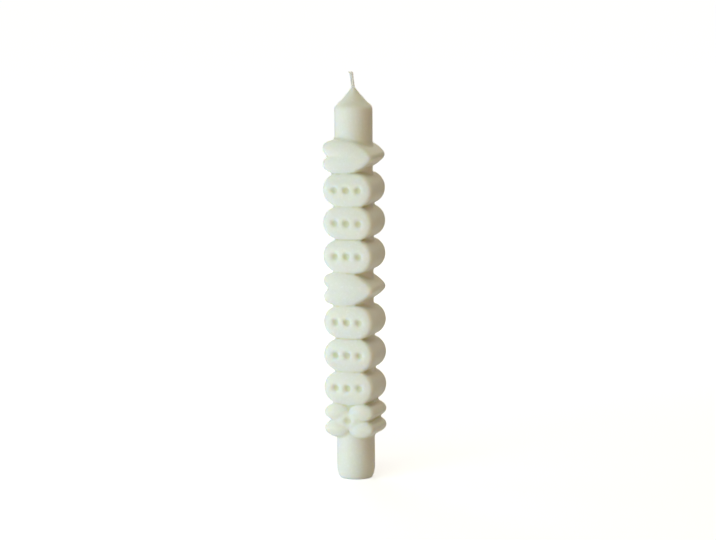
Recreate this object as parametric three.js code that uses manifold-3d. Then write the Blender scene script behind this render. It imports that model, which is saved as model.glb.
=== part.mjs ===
// A taper candle, in millimetres: one poured wax body with a column of puffy relief forms, and the
// braided cotton wick cast into it. +Z is up and the origin is the centre of the flat foot.
// The relief goes right through the shaft, with its faces towards -Y and +Y.
import * as THREE from "three";
import { mergeVertices } from "three/addons/utils/BufferGeometryUtils.js";
import Module from "manifold-3d";

const wasm = await Module();
wasm.setup();

// Shaft, from the foot up
const SHAFT_DIAMETER = 22;
const FOOT_LENGTH = 25.2; // plain length below the relief, which goes into a candle holder
const FOOT_EASE_LENGTH = 7.5; // the foot narrows over this length
const FOOT_EASE_INSET = 2.5; // and by this much on the radius
const COLLAR_LENGTH = 17.6; // plain length between the relief and the shoulder
const CONE_HEIGHT = 11.4;
const SHOULDER_ROUND = 2.6; // length of the soft turn on each side of the shoulder
const TIP_WALL = 0.5; // wax round the wick where it leaves the cone

// Relief
const FORM_COUNT = 9;
const FORM_PITCH = 19;
const FORM_MERGE = 1; // how far neighbouring forms run into each other
const RELIEF_WIDTH = 30.5; // along X
const RELIEF_DEPTH = 27.6; // along Y, from face to face
const EDGE_ROUND = 2.9;
const EDGE_SHARE = 0.85; // of the sharpest end of any form, which is the most that the edge takes
const FULLEST_SIDE = 0.55; // least side radius of an oval, as a share of its length
const BEADS_IN_RUN = 3; // between a heart and the next one

// Bead: one full oval with a row of dimples
const BEAD_END_RADIUS = 9.3;
const BEAD_SIDE_RADIUS = 40;
const BEAD_DIMPLES = 3;
const BEAD_DIMPLE_PITCH = 7.2;
const BEAD_DIMPLE_DIAMETER = 4.2;

// Clover: four oval petals round a middle
const PETAL_END_RADIUS = 3.6;
const PETAL_SIDE_RADIUS = 9.4;
const PETAL_MERGE = 0.8; // how far neighbouring petals run into each other
const CLOVER_MIDDLE_LENGTH = 17;
const CLOVER_MIDDLE_SIDE_RADIUS = 9.8;
const CLOVER_DIMPLE_DIAMETER = 5;

// Heart: two egg-shaped lobes that lean together and meet in a tip
const LOBE_END_RADIUS = 4.7;
const LOBE_TIP_RADIUS = 3.4;
const LOBE_SIDE_RADIUS = 24;
const LOBE_TILT = 12.5; // degrees

const DIMPLE_DEPTH = 1.8;

// Wick
const WICK_DIAMETER = 1.9;
const WICK_EXPOSED = 9.2;
const WICK_TIP_WIDTH = 2.8; // the cut end splays along X
const WICK_LEAN = 1.25; // how far the cut end leans towards -X
const WICK_RECESS = 0.3; // the wick is trimmed this far inside the foot
const WICK_CLEARANCE = 0.3;

// Fineness of the round shapes
const SHAFT_SIDES = 48;
const ARC_STEP = 18; // degrees
const EDGE_STEPS = 3;
const CURVE_STEPS = 4;
const DIMPLE_SIDES = 12;
const DIMPLE_RINGS = 4;
const WICK_SIDES = 12;
const WICK_STEPS = 6;

const shaftRadius = SHAFT_DIAMETER / 2;
const shoulderHeight = FOOT_LENGTH + FORM_COUNT * FORM_PITCH + COLLAR_LENGTH;
const tipHeight = shoulderHeight + CONE_HEIGHT;
const formHeight = FORM_PITCH + FORM_MERGE;
const sharpestEnd = Math.min(BEAD_END_RADIUS, PETAL_END_RADIUS, LOBE_END_RADIUS, LOBE_TIP_RADIUS);
const edgeRound = Math.min(EDGE_ROUND, EDGE_SHARE * sharpestEnd);
const wickRadius = WICK_DIAMETER / 2;
const boreRadius = wickRadius + WICK_CLEARANCE;
const tipRadius = boreRadius + TIP_WALL;

const WAX = new THREE.MeshStandardMaterial({ color: 0xe6e7d9, roughness: 0.48, metalness: 0 });
const COTTON = new THREE.MeshStandardMaterial({ color: 0xdcdcd2, roughness: 0.8, metalness: 0 });

// Turns a closed three.js geometry into a solid that can be joined and cut.
function solid(geometry) {
  const bare = geometry.clone();
  bare.deleteAttribute("normal");
  bare.deleteAttribute("uv");
  const merged = mergeVertices(bare, 1e-4);
  const mesh = new wasm.Mesh({
    numProp: 3,
    vertProperties: merged.attributes.position.array,
    triVerts: new Uint32Array(merged.index.array),
  });
  return new wasm.Manifold(mesh);
}

function geometryOf(manifold) {
  const mesh = manifold.getMesh();
  const geometry = new THREE.BufferGeometry();
  geometry.setAttribute("position", new THREE.BufferAttribute(mesh.vertProperties, 3));
  geometry.setIndex(new THREE.BufferAttribute(mesh.triVerts, 1));
  geometry.computeVertexNormals();
  return geometry;
}

// Revolves a profile of radius and height about Z.
function turned(profile, sides) {
  return new THREE.LatheGeometry(profile, sides).rotateX(Math.PI / 2);
}

// Foot, straight shaft, soft shoulder and cone, as one turned body.
function shaft() {
  const shoulder = new THREE.Vector2(shaftRadius, shoulderHeight);
  const tip = new THREE.Vector2(tipRadius, tipHeight);
  const coneStart = tip.clone().sub(shoulder).setLength(SHOULDER_ROUND).add(shoulder);
  const footRadius = shaftRadius - FOOT_EASE_INSET;
  const path = new THREE.Path();
  path.moveTo(0, 0);
  path.lineTo(footRadius, 0);
  path.absellipse(footRadius, FOOT_EASE_LENGTH, FOOT_EASE_INSET, FOOT_EASE_LENGTH, -Math.PI / 2, 0);
  path.lineTo(shaftRadius, shoulderHeight - SHOULDER_ROUND);
  path.quadraticCurveTo(shoulder.x, shoulder.y, coneStart.x, coneStart.y);
  path.lineTo(tip.x, tip.y);
  path.lineTo(0, tip.y);
  return solid(turned(path.getPoints(CURVE_STEPS), SHAFT_SIDES));
}

// The points of an arc, without its last one.
function arc(x, y, radius, from, to) {
  const steps = Math.ceil((to - from) / THREE.MathUtils.degToRad(ARC_STEP));
  return new THREE.EllipseCurve(x, y, radius, radius, from, to).getPoints(steps).slice(0, -1);
}

// The outline of an oval along X, made of four tangent arcs: a round left end, a round right end, and
// a shallow side above and below.
function oval(length, leftRadius, rightRadius, sideRadius) {
  const left = leftRadius - length / 2;
  const right = length / 2 - rightRadius;
  const span = right - left;
  const side = Math.max(sideRadius, FULLEST_SIDE * length);
  const along = (span ** 2 + (side - leftRadius) ** 2 - (side - rightRadius) ** 2) / (2 * span);
  const drop = Math.sqrt((side - leftRadius) ** 2 - along ** 2);
  const leftTurn = Math.atan2(drop, -along);
  const rightTurn = Math.atan2(drop, span - along);
  return new THREE.Shape([
    ...arc(right, 0, rightRadius, -rightTurn, rightTurn),
    ...arc(left + along, -drop, side, rightTurn, leftTurn),
    ...arc(left, 0, leftRadius, leftTurn, 2 * Math.PI - leftTurn),
    ...arc(left + along, drop, side, 2 * Math.PI - leftTurn, 2 * Math.PI - rightTurn),
  ]);
}

// One puffy oval that goes right through the shaft, with soft edges round both faces.
function puff(outline, x = 0, z = 0, tilt = 0) {
  const geometry = new THREE.ExtrudeGeometry(outline, {
    depth: RELIEF_DEPTH - 2 * edgeRound,
    bevelThickness: edgeRound,
    bevelSize: edgeRound,
    bevelOffset: -edgeRound,
    bevelSegments: EDGE_STEPS,
  });
  return geometry
    .translate(0, 0, edgeRound - RELIEF_DEPTH / 2)
    .rotateX(Math.PI / 2)
    .rotateY(-tilt)
    .translate(x, 0, z);
}

// Joins the puffs of one form, brought to the relief's full width and to the height of its place.
function form(puffs, z) {
  const box = new THREE.Box3();
  for (const geometry of puffs) {
    geometry.computeBoundingBox();
    box.union(geometry.boundingBox);
  }
  const size = box.getSize(new THREE.Vector3());
  const middle = box.getCenter(new THREE.Vector3());
  return puffs
    .map((geometry) => geometry
      .translate(-middle.x, 0, -middle.z)
      .scale(RELIEF_WIDTH / size.x, 1, formHeight / size.z)
      .translate(0, 0, z))
    .map(solid)
    .reduce((joined, next) => joined.add(next));
}

// A round dent in both faces of a form.
function dimples(diameter, x, z) {
  const dent = new THREE.SphereGeometry(diameter / 2, DIMPLE_SIDES, DIMPLE_RINGS)
    .scale(1, (2 * DIMPLE_DEPTH) / diameter, 1);
  const front = solid(dent.clone().translate(x, -RELIEF_DEPTH / 2, z));
  return front.add(solid(dent.translate(x, RELIEF_DEPTH / 2, z)));
}

function bead(z) {
  const whole = oval(RELIEF_WIDTH, BEAD_END_RADIUS, BEAD_END_RADIUS, BEAD_SIDE_RADIUS);
  let dented = form([puff(whole)], z);
  for (let i = 0; i < BEAD_DIMPLES; i++) {
    const x = (i - (BEAD_DIMPLES - 1) / 2) * BEAD_DIMPLE_PITCH;
    dented = dented.subtract(dimples(BEAD_DIMPLE_DIAMETER, x, z));
  }
  return dented;
}

function clover(z) {
  const length = (RELIEF_WIDTH + PETAL_MERGE) / 2;
  const petal = oval(length, PETAL_END_RADIUS, PETAL_END_RADIUS, PETAL_SIDE_RADIUS);
  const x = (RELIEF_WIDTH - length) / 2;
  const up = (formHeight - PETAL_MERGE) / 4;
  const middle = oval(
    CLOVER_MIDDLE_LENGTH, PETAL_END_RADIUS, PETAL_END_RADIUS, CLOVER_MIDDLE_SIDE_RADIUS,
  );
  const petals = [[-x, -up], [-x, up], [x, -up], [x, up]].map((place) => puff(petal, ...place));
  return form([puff(middle), ...petals], z).subtract(dimples(CLOVER_DIMPLE_DIAMETER, 0, z));
}

function heart(z) {
  const lobe = oval(RELIEF_WIDTH, LOBE_END_RADIUS, LOBE_TIP_RADIUS, LOBE_SIDE_RADIUS);
  const tilt = THREE.MathUtils.degToRad(LOBE_TILT);
  const up = (RELIEF_WIDTH / 2 - LOBE_TIP_RADIUS) * Math.sin(tilt);
  return form([puff(lobe, 0, up, -tilt), puff(lobe, 0, -up, tilt)], z);
}

// The column starts with a clover. Above it, a heart follows each run of beads.
function formAt(step, z) {
  if (step === 0) {
    return clover(z);
  }
  return step % (BEADS_IN_RUN + 1) === 0 ? heart(z) : bead(z);
}

// The shaft and its relief, with the bore that the wick leaves in the wax.
function waxBody() {
  let wax = shaft();
  for (let i = 0; i < FORM_COUNT; i++) {
    wax = wax.add(formAt(i, FOOT_LENGTH + (i + 0.5) * FORM_PITCH));
  }
  const bore = new THREE.CylinderGeometry(boreRadius, boreRadius, 3 * tipHeight, WICK_SIDES)
    .rotateX(Math.PI / 2);
  return geometryOf(wax.subtract(solid(bore)));
}

// The wick stands straight in the wax. Above it, it leans over and splays towards its cut end.
function wickGeometry() {
  const cutHeight = tipHeight + WICK_EXPOSED;
  const profile = [new THREE.Vector2(0, WICK_RECESS), new THREE.Vector2(wickRadius, WICK_RECESS)];
  for (let i = 0; i <= WICK_STEPS; i++) {
    profile.push(new THREE.Vector2(wickRadius, tipHeight + (WICK_EXPOSED * i) / WICK_STEPS));
  }
  profile.push(new THREE.Vector2(0, cutHeight));
  const geometry = turned(profile, WICK_SIDES);
  const position = geometry.attributes.position;
  for (let i = 0; i < position.count; i++) {
    const share = Math.max(0, (position.getZ(i) - tipHeight) / WICK_EXPOSED);
    const splay = 1 + (WICK_TIP_WIDTH / WICK_DIAMETER - 1) * share;
    position.setX(i, position.getX(i) * splay - WICK_LEAN * share);
  }
  geometry.computeVertexNormals();
  return geometry;
}

const candle = new THREE.Group();
for (const [name, geometry, material] of [
  ["wax_body", waxBody(), WAX],
  ["wick", wickGeometry(), COTTON],
]) {
  const mesh = new THREE.Mesh(geometry, material);
  mesh.name = name;
  candle.add(mesh);
}

export default candle;
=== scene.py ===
"""A poured wax taper candle with a column of puffy ornaments, standing on a white studio floor."""

import math

import bmesh
import bpy
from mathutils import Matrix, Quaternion, Vector


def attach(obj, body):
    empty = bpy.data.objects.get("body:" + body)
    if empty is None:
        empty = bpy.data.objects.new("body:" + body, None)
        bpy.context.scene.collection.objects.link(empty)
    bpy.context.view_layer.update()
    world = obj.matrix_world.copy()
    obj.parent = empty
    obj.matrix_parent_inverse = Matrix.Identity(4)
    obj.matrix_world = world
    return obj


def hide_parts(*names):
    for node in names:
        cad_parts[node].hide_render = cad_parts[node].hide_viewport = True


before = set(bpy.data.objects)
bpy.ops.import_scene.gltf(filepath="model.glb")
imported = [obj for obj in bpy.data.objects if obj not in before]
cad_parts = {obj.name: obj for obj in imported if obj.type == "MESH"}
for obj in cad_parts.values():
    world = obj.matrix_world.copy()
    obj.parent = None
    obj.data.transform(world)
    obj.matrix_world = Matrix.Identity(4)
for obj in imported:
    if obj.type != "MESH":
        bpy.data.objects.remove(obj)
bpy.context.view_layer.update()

# Lengths are in millimetres, unless a note says metres.
MM = 0.001
WELD = 0.001  # corners this close are one

# Shaft, foot and cone
SHAFT_RADIUS = 11
FOOT_LENGTH = 25.2
FOOT_EASE_LENGTH = 7.5
FOOT_EASE_INSET = 2.5
COLLAR_LENGTH = 17.6
CONE_HEIGHT = 11.4
SHOULDER_LINE = (  # radius and drop below the tip, down the cone and over its soft shoulder
    (1.3, 0),
    (3.3, 2.5),
    (5.25, 4.8),
    (7.3, 7.1),
    (8.4, 8.2),
    (9.5, 9.2),
    (10.3, 10.05),
    (10.75, 10.9),
    (10.95, 11.9),
    (11, 13),
)
CREEP_HEIGHT = 0.5  # the wax creeps this far up the wick
CREEP_RADIUS = 1.0
SINK_RADIUS = 5.5  # the wax sinks in the middle of the base as it sets
SINK_DEPTH = 0.8
SINK_STEPS = 8
FOOT_EASE_STEPS = 12
SHAFT_SIDES = 192
SHAFT_BLEND = (2.5, 6.5)  # how far from the relief the shaft starts to be, and is, quite true

# Relief
FORM_COUNT = 9
FORM_PITCH = 19
FORM_HEIGHT = 20
RELIEF_WIDTH = 30.5
RELIEF_DEPTH = 27.6
EDGE_ROUND = 2.9
EDGE_STEPS = 5
CROWN = ((0.3, 0.86), (0.22, 0.8), (0.14, 0.7), (0.08, 0.5))  # each step's rise, and its shrink
ARC_STEP = 6  # degrees
BEADS_IN_RUN = 3
BEAD_END_RADIUS = 9.3
BEAD_SIDE_RADIUS = 40
BEAD_DIMPLES = 3
BEAD_DIMPLE_PITCH = 7.2
BEAD_DIMPLE_RADIUS = 2.5
PETAL_END_RADIUS = 3.6
PETAL_SIDE_RADIUS = 9.4
PETAL_OVERLAP = 0.8
HUB_LENGTH = 17  # the oval that joins the four petals of the clover
HUB_SIDE_RADIUS = 9.8
CLOVER_DIMPLE_RADIUS = 2.8
LOBE_RADIUS = 4.7  # the heart's round end, on the left
POINT_RADIUS = 3.4  # its point, on the right
LOBE_SIDE_RADIUS = 24
LOBE_TILT = 12.5  # degrees
DIMPLE_DEPTH = 1.8
DIMPLE_SIDES = 32
DIMPLE_RINGS = 16

# Wax surface
WAX_GRID = 0.6
WAX_MELT = 14  # rounds of softening after the forms are joined
WAX_MELT_STRENGTH = 0.5
WAX_CREAM = (0.83, 0.84, 0.74, 1)
WAX_IVORY = (0.79, 0.80, 0.69, 1)
CLOUD_SIZE = 16  # this and the next two are how wide the lumps in the wax's colour and skin are
BLOOM_SIZE = 1.4
GRAIN_SIZE = 0.25
FROST_TONES = (0.45, 0.75)  # the bloom's tone where frost starts to show, and where it is full
FROST_COLOUR = (0.88, 0.89, 0.83, 1)
# Painted shade: a colour layer from the wax's shape makes its dimples and crevices warmer and
# darker
PAINTED_SHADE_LAYER = "painted_crevice_shade"
PAINTED_SHADE_TONES = (0.24, 0.52)  # the painted shade layer's tone in a dimple, where the shade is full, and where it starts
PAINTED_SHADE_BLUR_ROUNDS = 3  # rounds of blurring the painted shade
# the colour of the painted shade in dimples and crevices
PAINTED_SHADE_COLOUR = (0.71, 0.72, 0.45, 1)
PINHOLE_SPACING = 3.4
PINHOLE_EDGE = (0.03, 0.09)  # shares of the spacing
# painted shade in the pinholes
PINHOLE_PAINTED_SHADE = (0.64, 0.63, 0.48, 1)

# Wick
WICK_RECESS = 0.3  # its trimmed foot is this far above the floor
WICK_EXPOSED = 9.2
WICK_LEAN = 1.25
WICK_FAN = 1.35  # how much wider the cut end is than the rest
WICK_FAN_LENGTH = 2.6
WICK_FAN_POWER = 1.5
WICK_EMBEDDED = 6  # length of plait inside the wax at each end
WICK_UNEVEN = 0.35  # how much the cut yarns differ in length
WICK_STAGGER = 0.37  # the share of that by which each yarn differs from the one before it
BUNDLES = 3
YARNS_IN_BUNDLE = 3
YARN_RADIUS = 0.28
YARN_STEP = 0.2
YARN_ROUNDNESS = 3
PLAIT_PITCH = 4.8
PLAIT_REACH = (0.72, 0.28)  # how far a bundle goes to each side, and to the front and back
BUNDLE_PITCH = 3.1
BUNDLE_REACH = 0.24
CORE_RADIUS = 0.57
CORE_OVERLAP = 1  # how far the core goes into the plait at each end
CORE_SIDES = 12
PLY_TURNS = 44  # turns of the plies along a yarn
PLIES = 3
FIBRE_SIZE = 0.1
# painted shade in the grooves between the plies; the pale colour is the cotton's own
COTTON_GROOVE_SHADE = (0.82, 0.81, 0.73, 1)
COTTON_PALE = (0.98, 0.97, 0.90, 1)

# Studio
LAMPS = (  # degrees from the camera's bearing, metres out, up, wide and high, watts, and colour
    ("window_low", -55, 0.5, 0.03, 0.3, 0.06, 1.6, (0.62, 0.78, 1.0)),
    ("window_left", -110, 0.9, 0.16, 0.35, 0.3, 1.1, (1.0, 0.77, 0.68)),
    ("warm_side", 20, 0.9, 0.16, 0.35, 0.3, 1.05, (1.0, 0.42, 0.08)),
    ("rear_left", -165, 0.9, 0.6, 0.5, 0.6, 2.4, (1.0, 0.98, 0.95)),
    ("rear_right", 155, 0.9, 0.6, 0.5, 0.6, 1.15, (1.0, 0.82, 0.45)),
    ("ceiling", 0, 0.01, 1.5, 1.2, 1.2, 4.2, (1.0, 0.93, 0.8)),
    ("ceiling_front", -20, 0.8, 1.2, 0.8, 0.8, 5.2, (0.82, 1.0, 0.9)),
)
LAMP_AIM = 0.12  # metres up the candle
AIR_COLOUR = (0.08, 0.067, 0.045, 1)
WHITE = (1, 1, 1, 1)
FLOOR_SIZE = 40  # metres
FLOOR_COLOUR = (0.84, 0.855, 0.89, 1)
FLOOR_WHITE = (0.56, 0.95)  # what makes up the floor's white, near the candle and far from it
FLOOR_FADE = (0.2, 1.6)  # metres from the candle
CAMERA_AZIMUTH = 20  # degrees, as are the elevation and the roll
CAMERA_ELEVATION = 7.5
CAMERA_DISTANCE = 2.0  # metres
CAMERA_LENS = 175.3
CAMERA_SENSOR = 36
CAMERA_AIM = 120.5  # how far up the candle it looks
CAMERA_ASIDE = 2.0  # how far to the right of the candle
CAMERA_ROLL = -0.455

SHOULDER_HEIGHT = FOOT_LENGTH + FORM_COUNT * FORM_PITCH + COLLAR_LENGTH
TIP_HEIGHT = SHOULDER_HEIGHT + CONE_HEIGHT
WICK_END = TIP_HEIGHT + WICK_EXPOSED


# Modelling by hand


def rest_all():
    """Nothing is selected and no piece is being edited."""
    if bpy.context.object and bpy.context.object.mode != "OBJECT":
        bpy.ops.object.mode_set(mode="OBJECT")
    bpy.ops.object.select_all(action="DESELECT")


def named(name):
    piece = bpy.context.object
    piece.name = name
    piece.data.name = name
    return piece


def take(piece):
    rest_all()
    piece.select_set(True)
    bpy.context.view_layer.objects.active = piece


def edit(piece):
    take(piece)
    bpy.ops.object.mode_set(mode="EDIT")
    bpy.ops.mesh.select_mode(type="VERT")
    bpy.ops.mesh.select_all(action="SELECT")


def pick(piece, kind, test):
    """Selects the faces, edges or verts of the piece being edited that pass the test."""
    mesh = bmesh.from_edit_mesh(piece.data)
    bpy.ops.mesh.select_all(action="DESELECT")
    bpy.ops.mesh.select_mode(type={"faces": "FACE", "edges": "EDGE", "verts": "VERT"}[kind])
    for element in getattr(mesh, kind):
        element.select_set(bool(test(element)))
    bmesh.update_edit_mesh(piece.data)


def settle():
    """Leaves edit mode and puts the piece's place into its mesh."""
    bpy.ops.object.mode_set(mode="OBJECT")
    bpy.ops.object.transform_apply(location=True, rotation=True, scale=True)


def start_point(name, x, y, z):
    """A new piece that is one vertex."""
    rest_all()
    bpy.ops.mesh.primitive_plane_add(size=MM, location=(x * MM, y * MM, z * MM))
    piece = named(name)
    bpy.ops.object.transform_apply(location=True, rotation=False, scale=False)
    edit(piece)
    bpy.ops.mesh.merge(type="CENTER")
    bpy.ops.mesh.select_all(action="SELECT")
    return piece


def apply_modifier(piece, kind, **settings):
    take(piece)
    modifier = piece.modifiers.new(kind.lower(), kind)
    for key, value in settings.items():
        setattr(modifier, key, value)
    bpy.ops.object.modifier_apply(modifier=modifier.name)


def cut(piece, tool):
    apply_modifier(
        piece, "BOOLEAN", object=tool, operation="DIFFERENCE", solver="EXACT", use_self=True
    )
    bpy.data.objects.remove(tool)


def turned(name, profile, sides):
    """Draws a profile of radius and height from point to point, and turns it about Z."""
    piece = start_point(name, profile[0][0], 0, profile[0][1])
    for (r0, z0), (r1, z1) in zip(profile, profile[1:]):
        step = ((r1 - r0) * MM, 0, (z1 - z0) * MM)
        bpy.ops.mesh.extrude_region_move(TRANSFORM_OT_translate={"value": step})
    bpy.ops.mesh.select_all(action="SELECT")
    bpy.ops.mesh.spin(steps=sides, angle=2 * math.pi, center=(0, 0, 0), axis=(0, 0, 1))
    bpy.ops.mesh.select_all(action="SELECT")
    bpy.ops.mesh.remove_doubles(threshold=WELD * MM)
    bpy.ops.mesh.normals_make_consistent(inside=False)
    settle()
    return piece


def softened(points, steps=4):
    """A smooth line through the points of a profile."""
    line = []
    for i, point in enumerate(points[:-1]):
        before = points[max(i - 1, 0)]
        after = points[i + 1]
        beyond = points[min(i + 2, len(points) - 1)]
        for step in range(steps):
            t = step / steps
            line.append(tuple(
                b + t / 2 * (c - a + t * (2 * a - 5 * b + 4 * c - d + t * (3 * b - a - 3 * c + d)))
                for a, b, c, d in zip(before, point, after, beyond)
            ))
    return line + [points[-1]]


# Wax


def shaft():
    """Foot, straight shaft, soft shoulder and cone."""
    foot = SHAFT_RADIUS - FOOT_EASE_INSET
    profile = []
    for i in range(SINK_STEPS + 1):
        t = i / SINK_STEPS
        profile.append((SINK_RADIUS * t, SINK_DEPTH * (1 + math.cos(math.pi * t)) / 2))
    profile.append((foot, 0))
    for i in range(1, FOOT_EASE_STEPS + 1):
        turn = math.pi / 2 * i / FOOT_EASE_STEPS
        profile.append((
            foot + FOOT_EASE_INSET * math.sin(turn),
            FOOT_EASE_LENGTH * (1 - math.cos(turn)),
        ))
    shoulder = [(radius, TIP_HEIGHT - drop) for radius, drop in reversed(SHOULDER_LINE)]
    profile += softened(shoulder)
    profile += [(CREEP_RADIUS, TIP_HEIGHT + CREEP_HEIGHT), (0, TIP_HEIGHT + CREEP_HEIGHT)]
    return turned("shaft", profile, SHAFT_SIDES)


def puff(length, left_radius, right_radius, side_radius, x=0, z=0, tilt=0):
    """A puffy oval right through the shaft: its outline is drawn as four tangent arcs, extruded to
    the relief's depth, rounded round both faces, and crowned on them."""
    left = left_radius - length / 2
    right = length / 2 - right_radius
    span = right - left
    left_reach = side_radius - left_radius
    right_reach = side_radius - right_radius
    along = (span**2 + left_reach**2 - right_reach**2) / (2 * span)
    drop = math.sqrt(left_reach**2 - along**2)
    left_turn = math.atan2(drop, -along)
    right_turn = math.atan2(drop, span - along)
    front = -RELIEF_DEPTH / 2 + sum(rise for rise, _ in CROWN)
    piece = start_point(
        "puff",
        right + right_radius * math.cos(right_turn),
        front,
        -right_radius * math.sin(right_turn),
    )
    for centre_x, centre_z, sweep in (
        (right, 0, 2 * right_turn),
        (left + along, -drop, left_turn - right_turn),
        (left, 0, 2 * (math.pi - left_turn)),
        (left + along, drop, left_turn - right_turn),
    ):
        bpy.ops.mesh.spin(
            steps=math.ceil(math.degrees(sweep) / ARC_STEP),
            angle=sweep,
            center=(centre_x * MM, front * MM, centre_z * MM),
            axis=(0, 1, 0),
        )
    bpy.ops.mesh.select_all(action="SELECT")
    bpy.ops.mesh.remove_doubles(threshold=WELD * MM)
    bpy.ops.mesh.edge_face_add()
    bpy.ops.mesh.extrude_region_move(TRANSFORM_OT_translate={"value": (0, -2 * front * MM, 0)})
    bpy.ops.mesh.select_all(action="SELECT")
    bpy.ops.mesh.normals_make_consistent(inside=False)
    rim = (-front - WELD) * MM
    pick(piece, "edges", lambda edge: all(abs(v.co.y) > rim for v in edge.verts)
         and edge.verts[0].co.y * edge.verts[1].co.y > 0)
    bpy.ops.mesh.bevel(offset=EDGE_ROUND * MM, segments=EDGE_STEPS, clamp_overlap=False)
    for side in (-1, 1):
        pick(piece, "faces", lambda face: all(v.co.y * side > rim for v in face.verts))
        for rise, shrink in CROWN:
            step = (0, side * rise * MM, 0)
            bpy.ops.mesh.extrude_region_move(TRANSFORM_OT_translate={"value": step})
            bpy.ops.transform.resize(value=(shrink, 1, shrink), center_override=(0, 0, 0))
    bpy.ops.object.mode_set(mode="OBJECT")
    piece.rotation_euler = (0, -tilt, 0)
    piece.location = (x * MM, 0, z * MM)
    settle()
    return piece


def joined(name, pieces):
    rest_all()
    for piece in pieces:
        piece.select_set(True)
    bpy.context.view_layer.objects.active = pieces[0]
    bpy.ops.object.join()
    return named(name)


def fitted(name, puffs):
    """Joins the puffs of one form, and brings it to the relief's width and its place's height."""
    form = joined(name, puffs)
    corners = [Vector(corner) for corner in form.bound_box]
    low = Vector(map(min, zip(*corners)))
    high = Vector(map(max, zip(*corners)))
    middle = (low + high) / 2
    width = RELIEF_WIDTH * MM / (high.x - low.x)
    height = FORM_HEIGHT * MM / (high.z - low.z)
    form.scale = (width, 1, height)
    form.location = (-middle.x * width, 0, -middle.z * height)
    bpy.ops.object.transform_apply(location=True, rotation=True, scale=True)
    return form


def dent(form, radius, x):
    """A round dimple in both faces of a form."""
    for side in (-1, 1):
        rest_all()
        bpy.ops.mesh.primitive_uv_sphere_add(
            segments=DIMPLE_SIDES,
            ring_count=DIMPLE_RINGS,
            radius=radius * MM,
            location=(x * MM, side * RELIEF_DEPTH / 2 * MM, 0),
            scale=(1, DIMPLE_DEPTH / radius, 1),
        )
        tool = named("dent")
        bpy.ops.object.transform_apply(location=True, rotation=True, scale=True)
        cut(form, tool)


def bead():
    oval = puff(RELIEF_WIDTH, BEAD_END_RADIUS, BEAD_END_RADIUS, BEAD_SIDE_RADIUS)
    form = fitted("bead", [oval])
    for i in range(BEAD_DIMPLES):
        dent(form, BEAD_DIMPLE_RADIUS, (i - (BEAD_DIMPLES - 1) / 2) * BEAD_DIMPLE_PITCH)
    return form


def clover():
    length = (RELIEF_WIDTH + PETAL_OVERLAP) / 2
    x = (RELIEF_WIDTH - length) / 2
    z = (FORM_HEIGHT - PETAL_OVERLAP) / 4
    puffs = [puff(HUB_LENGTH, PETAL_END_RADIUS, PETAL_END_RADIUS, HUB_SIDE_RADIUS)]
    petal = (length, PETAL_END_RADIUS, PETAL_END_RADIUS, PETAL_SIDE_RADIUS)
    for place in ((-x, -z), (-x, z), (x, -z), (x, z)):
        puffs.append(puff(*petal, *place))
    form = fitted("clover", puffs)
    dent(form, CLOVER_DIMPLE_RADIUS, 0)
    return form


def heart():
    tilt = math.radians(LOBE_TILT)
    lift = (RELIEF_WIDTH / 2 - POINT_RADIUS) * math.sin(tilt)
    lobe = (RELIEF_WIDTH, LOBE_RADIUS, POINT_RADIUS, LOBE_SIDE_RADIUS)
    return fitted("heart", [puff(*lobe, 0, lift, -tilt), puff(*lobe, 0, -lift, tilt)])


def copy_at(form, step):
    """A copy of a form, with its own mesh, at its place in the column."""
    copy = form.copy()
    copy.data = form.data.copy()
    bpy.context.scene.collection.objects.link(copy)
    copy.location.z = (FOOT_LENGTH + (step + 0.5) * FORM_PITCH) * MM
    take(copy)
    bpy.ops.object.transform_apply(location=True, rotation=False, scale=False)
    return copy


def true_up(body):
    """Brings the shaft, clear of the relief, back to its turned shape, which the melting blurs."""
    low = FOOT_LENGTH
    high = FOOT_LENGTH + FORM_COUNT * FORM_PITCH
    start, true = SHAFT_BLEND
    group = body.vertex_groups.new(name="true")
    for vertex in body.data.vertices:
        z = vertex.co.z / MM
        clear = max(low - z, z - high)
        weight = min(1.0, max(0.0, (clear - start) / (true - start)))
        group.add([vertex.index], weight, "REPLACE")
    pattern = shaft()
    apply_modifier(body, "SHRINKWRAP", target=pattern, vertex_group="true")
    bpy.data.objects.remove(pattern)
    body.vertex_groups.clear()


def paint_crevice_shade(piece):
    """Puts a colour layer of painted shade on the piece, worked out from its shape: dark in dimples
    and crevices and light on its ridges.
    """
    take(piece)
    bpy.ops.geometry.color_attribute_add(
        name=PAINTED_SHADE_LAYER, domain="CORNER", data_type="FLOAT_COLOR", color=WHITE
    )
    bpy.ops.object.mode_set(mode="VERTEX_PAINT")
    bpy.ops.paint.vertex_color_dirt(
        blur_iterations=PAINTED_SHADE_BLUR_ROUNDS, clean_angle=math.pi, dirt_angle=0
    )
    rest_all()


def wax_body():
    """The shaft and the column of forms, melted together."""
    forms = {"clover": clover(), "bead": bead(), "heart": heart()}
    pieces = [shaft()]
    for step in range(FORM_COUNT):
        kind = "bead"
        if step % (BEADS_IN_RUN + 1) == 0:
            kind = "heart" if step else "clover"
        pieces.append(copy_at(forms[kind], step))
    for form in forms.values():
        bpy.data.objects.remove(form)
    body = joined("candle_wax", pieces)
    apply_modifier(body, "REMESH", mode="VOXEL", voxel_size=WAX_GRID * MM, use_smooth_shade=True)
    apply_modifier(body, "SMOOTH", factor=WAX_MELT_STRENGTH, iterations=WAX_MELT)
    true_up(body)
    # paints shade into the dimples and crevices as a colour layer
    paint_crevice_shade(body)
    return body


# Finishes


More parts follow.
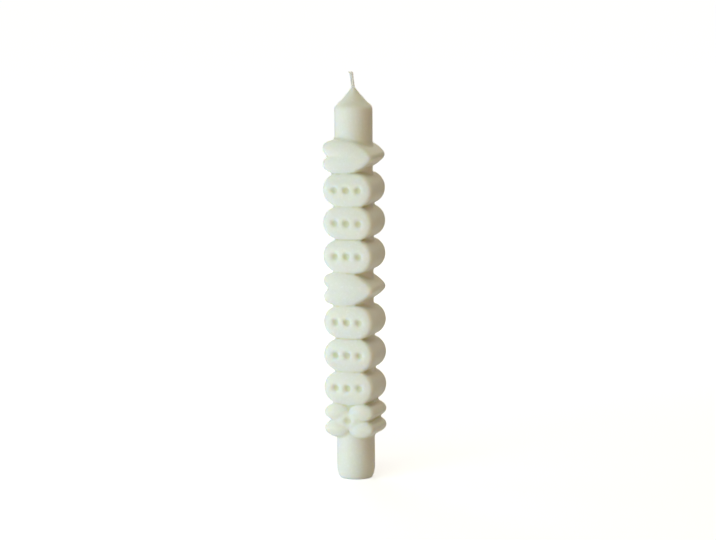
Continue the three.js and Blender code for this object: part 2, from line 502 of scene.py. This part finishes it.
class Value:
    """A socket whose arithmetic adds Math nodes to its material."""

    def __init__(self, finish, socket):
        self.finish = finish
        self.socket = socket

    def math(self, operation, *values):
        return self.finish.node("ShaderNodeMath", {"operation": operation}, dict(enumerate(values)))

    def __add__(self, other):
        return self.math("ADD", self, other)

    def __radd__(self, other):
        return self.math("ADD", other, self)

    def __sub__(self, other):
        return self.math("SUBTRACT", self, other)

    def __rsub__(self, other):
        return self.math("SUBTRACT", other, self)

    def __mul__(self, other):
        return self.math("MULTIPLY", self, other)

    def __rmul__(self, other):
        return self.math("MULTIPLY", other, self)

    def sine(self):
        return self.math("SINE", self)

    def limited(self):
        return self.math("MINIMUM", self, 1.0)


class Finish:
    """The nodes of a material, or of the air round the candle."""

    def __init__(self, owner):
        self.owner = owner
        owner.use_nodes = True
        self.tree = owner.node_tree
        self.tree.nodes.clear()

    def node(self, kind, settings=None, inputs=None, output=None):
        """Adds a node, sets it up, fills its sockets by name or number, and gives one of its
        outputs: the one that is named, or the first that is in use."""
        node = self.tree.nodes.new(kind)
        for key, value in (settings or {}).items():
            setattr(node, key, value)
        for key, value in (inputs or {}).items():
            if isinstance(key, int):
                socket = node.inputs[key]
            else:
                socket = next(s for s in node.inputs if s.enabled and s.name == key)
            if isinstance(value, Value):
                self.tree.links.new(value.socket, socket)
            else:
                socket.default_value = value
        for socket in node.outputs:
            if socket.enabled and output in (None, socket.name):
                return Value(self, socket)

    def place(self):
        """The point on the piece, in metres."""
        return self.node("ShaderNodeTexCoord", output="Object")

    def noise(self, size, detail=2.0, roughness=0.5):
        """Soft noise from 0 to 1 whose lumps are about that many millimetres across."""
        return self.node(
            "ShaderNodeTexNoise",
            {"noise_dimensions": "3D"},
            {
                "Vector": self.place(),
                "Scale": 1 / (size * MM),
                "Detail": detail,
                "Roughness": roughness,
            },
        )

    def bubble(self, spacing):
        """How far the nearest bubble is, as a share of the spacing in millimetres."""
        return self.node(
            "ShaderNodeTexVoronoi",
            {"voronoi_dimensions": "3D"},
            {"Vector": self.place(), "Scale": 1 / (spacing * MM)},
            output="Distance",
        )

    def fade(self, value, low, high):
        """0 below the low value, 1 above the high one, and a smooth change between them."""
        return self.node(
            "ShaderNodeMapRange",
            {"interpolation_type": "SMOOTHSTEP"},
            {"Value": value, "From Min": low, "From Max": high},
        )

    def blend(self, amount, first, second):
        """The first colour where the amount is 0 and the second where it is 1."""
        return self.node(
            "ShaderNodeMix",
            {"data_type": "RGBA"},
            {"Factor": amount, "A": first, "B": second},
        )

    def bump(self, height, depth, strength):
        """A surface raised by the height, which runs from 0 to 1, times a depth in millimetres."""
        return self.node(
            "ShaderNodeBump",
            None,
            {"Strength": strength, "Distance": depth * MM, "Height": height},
        )

    def direct(self):
        """1 where the camera sees it, straight or by a reflection, and 0 for the light it gives."""
        seen = self.node("ShaderNodeLightPath", output="Is Camera Ray")
        glossy = self.node("ShaderNodeLightPath", output="Is Glossy Ray")
        through = self.node("ShaderNodeLightPath", output="Is Transmission Ray")
        return (seen + glossy + through).limited()

    def surface(self, inputs):
        """A Principled surface with these inputs."""
        shader = self.node("ShaderNodeBsdfPrincipled", None, inputs)
        return self.show("ShaderNodeOutputMaterial", shader)

    def show(self, kind, shader):
        self.node(kind, None, {"Surface": shader})
        return self.owner


def poured_wax():
    """Ivory wax: light goes some way into it, painted shade makes it warmer and darker in its
    dimples and crevices, and its satin skin has a faint bloom and a few pinholes."""
    finish = Finish(bpy.data.materials.new("poured_wax"))
    cloud = finish.noise(CLOUD_SIZE, detail=3.0)
    bloom = finish.noise(BLOOM_SIZE, detail=4.0, roughness=0.6)
    grain = finish.noise(GRAIN_SIZE)
    pinhole_and_shade = 1 - finish.fade(finish.bubble(PINHOLE_SPACING), *PINHOLE_EDGE)
    frost = finish.fade(bloom, *FROST_TONES)
    tone = finish.blend(cloud, WAX_CREAM, WAX_IVORY)
    frosted = finish.blend(frost * 0.55, tone, FROST_COLOUR)
    # painted shade: a warmer, darker colour in the dimples and crevices, from the shape's colour
    # layer
    shade_layer_tone = finish.node("ShaderNodeVertexColor", {"layer_name": PAINTED_SHADE_LAYER})
    painted_shade_amount = 1 - finish.fade(shade_layer_tone, *PAINTED_SHADE_TONES)
    with_painted_shade = finish.blend(painted_shade_amount * 0.85, frosted, PAINTED_SHADE_COLOUR)
    relief = cloud * 0.5 + bloom * 0.3 + grain * 0.06 - pinhole_and_shade
    return finish.surface({
        # the pinholes are real pits in the bump and are also darkened with painted shade
        "Base Color": finish.blend(pinhole_and_shade * 0.3, with_painted_shade, PINHOLE_PAINTED_SHADE),
        "Roughness": 0.46 + bloom * 0.1 + frost * 0.06,
        "Subsurface Weight": 1.0,
        "Subsurface Radius": (1.0, 0.8, 0.5),
        "Subsurface Scale": 0.0035,
        "Specular IOR Level": 0.35,
        "IOR": 1.44,
        "Normal": finish.bump(relief, 0.08, 0.6),
    })


def waxed_cotton():
    """Bleached cotton, stiff with wax: each yarn shows the twist of its plies, with painted shade
    in the grooves between them, and some fibre.
    """
    finish = Finish(bpy.data.materials.new("waxed_cotton"))
    fibre = finish.noise(FIBRE_SIZE, detail=3.0)
    turn = finish.node(
        "ShaderNodeVectorMath",
        {"operation": "DOT_PRODUCT"},
        {
            0: finish.node("ShaderNodeUVMap", {"uv_map": "UVMap"}),
            1: (2 * math.pi * PLY_TURNS, 2 * math.pi * PLIES, 0),
        },
        output="Value",
    )
    ply = turn.sine() * 0.5 + 0.5
    twist_and_groove_shade = ply * 0.6 + fibre * 0.4
    return finish.surface({
        # painted shade darkens the grooves between the plies, mixed with the fibre's random tone
        "Base Color": finish.blend(twist_and_groove_shade, COTTON_GROOVE_SHADE, COTTON_PALE),
        "Roughness": 0.55 + fibre * 0.2,
        "Subsurface Weight": 0.5,
        "Subsurface Radius": (1.0, 0.9, 0.7),
        "Subsurface Scale": 0.0004,
        "Normal": finish.bump(twist_and_groove_shade, 0.06, 0.8),
    })


# Wick


def wick_course(z):
    """The wick's middle and its spread at a height: straight in the wax, leaning above it, and
    fanned where it is cut."""
    lean = max(0.0, (z - TIP_HEIGHT) / WICK_EXPOSED)
    fan = max(0.0, 1 - (WICK_END - z) / WICK_FAN_LENGTH)
    return -WICK_LEAN * lean, 1 + (WICK_FAN - 1) * fan**WICK_FAN_POWER


def plait(name, low, high, uneven=0.0):
    """Three bundles of three yarns, plaited flat."""
    curve = bpy.data.curves.new(name, "CURVE")
    curve.dimensions = "3D"
    curve.bevel_depth = YARN_RADIUS * MM
    curve.bevel_resolution = YARN_ROUNDNESS
    curve.use_fill_caps = True
    for bundle in range(BUNDLES):
        for yarn in range(YARNS_IN_BUNDLE):
            place = bundle * YARNS_IN_BUNDLE + yarn
            top = high - uneven * (place * WICK_STAGGER % 1.0)
            steps = round((top - low) / YARN_STEP)
            spline = curve.splines.new("POLY")
            spline.points.add(steps)
            for i, point in enumerate(spline.points):
                z = low + (top - low) * i / steps
                turn = 2 * math.pi * (z / PLAIT_PITCH + bundle / BUNDLES)
                twist = 2 * math.pi * (z / BUNDLE_PITCH + yarn / YARNS_IN_BUNDLE)
                middle, spread = wick_course(z)
                x = PLAIT_REACH[0] * math.sin(turn) + BUNDLE_REACH * math.cos(twist)
                y = PLAIT_REACH[1] * math.sin(2 * turn) + BUNDLE_REACH * math.sin(twist)
                point.co = ((x * spread + middle) * MM, y * MM, z * MM, 1)
    piece = bpy.data.objects.new(name, curve)
    bpy.context.scene.collection.objects.link(piece)
    take(piece)
    bpy.ops.object.convert(target="MESH")
    return named(name)


def wick():
    """The plait where it can be seen, at the top and in the base, and a plain core between."""
    top = plait("wick_top", TIP_HEIGHT - WICK_EMBEDDED, WICK_END, WICK_UNEVEN)
    foot = plait("wick_foot", WICK_RECESS, WICK_EMBEDDED)
    low = WICK_EMBEDDED - CORE_OVERLAP
    high = TIP_HEIGHT - WICK_EMBEDDED + CORE_OVERLAP
    profile = [(0, low), (CORE_RADIUS, low), (CORE_RADIUS, high), (0, high)]
    core = turned("wick_core", profile, CORE_SIDES)
    return joined("candle_wick", [top, foot, core])


# Pieces in the frame


def dress(piece, finish, node):
    piece.data.materials.clear()
    piece.data.materials.append(finish)
    take(piece)
    bpy.ops.object.shade_smooth()
    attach(piece, "root")
    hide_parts(node)


dress(wax_body(), poured_wax(), "wax_body")
dress(wick(), waxed_cotton(), "wick")


# Studio


def stand(name, bearing, out, up, width, height, power, colour):
    """A soft rectangular lamp, aimed at the middle of the candle."""
    light = bpy.data.lights.new(name, "AREA")
    light.shape = "RECTANGLE"
    light.size = width
    light.size_y = height
    light.energy = power
    light.color = colour
    lamp = bpy.data.objects.new(name, light)
    bpy.context.scene.collection.objects.link(lamp)
    lamp.visible_camera = False
    turn = math.radians(CAMERA_AZIMUTH + bearing)
    lamp.location = (math.sin(turn) * out, -math.cos(turn) * out, up)
    aim = Vector((0, 0, LAMP_AIM)) - lamp.location
    lamp.rotation_euler = aim.to_track_quat("-Z", "Y").to_euler()


def studio():
    rest_all()
    bpy.ops.mesh.primitive_plane_add(size=FLOOR_SIZE, location=(0, 0, 0))
    floor = named("floor")
    finish = Finish(bpy.data.materials.new("studio_floor"))
    pale = finish.node("ShaderNodeBsdfDiffuse", None, {"Color": FLOOR_COLOUR})
    away = finish.node(
        "ShaderNodeVectorMath", {"operation": "LENGTH"}, {0: finish.place()}, output="Value"
    )
    near, far = FLOOR_WHITE
    amount = near + (far - near) * finish.fade(away, *FLOOR_FADE)
    strength = finish.direct() * amount
    white = finish.node("ShaderNodeEmission", None, {"Color": WHITE, "Strength": strength})
    both = finish.node("ShaderNodeAddShader", None, {0: pale, 1: white})
    floor.data.materials.append(finish.show("ShaderNodeOutputMaterial", both))

    air = Finish(bpy.data.worlds.new("studio_air"))
    colour = air.blend(air.direct(), AIR_COLOUR, WHITE)
    background = air.node("ShaderNodeBackground", None, {"Color": colour})
    bpy.context.scene.world = air.show("ShaderNodeOutputWorld", background)

    for lamp in LAMPS:
        stand(*lamp)


def camera():
    azimuth = math.radians(CAMERA_AZIMUTH)
    elevation = math.radians(CAMERA_ELEVATION)
    back = Vector((
        math.sin(azimuth) * math.cos(elevation),
        -math.cos(azimuth) * math.cos(elevation),
        math.sin(elevation),
    ))
    across = Vector((math.cos(azimuth), math.sin(azimuth), 0))
    target = Vector((0, 0, CAMERA_AIM * MM)) + across * CAMERA_ASIDE * MM
    data = bpy.data.cameras.new("camera")
    data.lens = CAMERA_LENS
    data.sensor_width = CAMERA_SENSOR
    view = bpy.data.objects.new("camera", data)
    bpy.context.scene.collection.objects.link(view)
    view.location = target + back * CAMERA_DISTANCE
    level = (-back).to_track_quat("-Z", "Y")
    view.rotation_euler = (Quaternion(back, math.radians(CAMERA_ROLL)) @ level).to_euler()
    bpy.context.scene.camera = view


studio()
camera()
bpy.context.scene.view_settings.view_transform = "Standard"
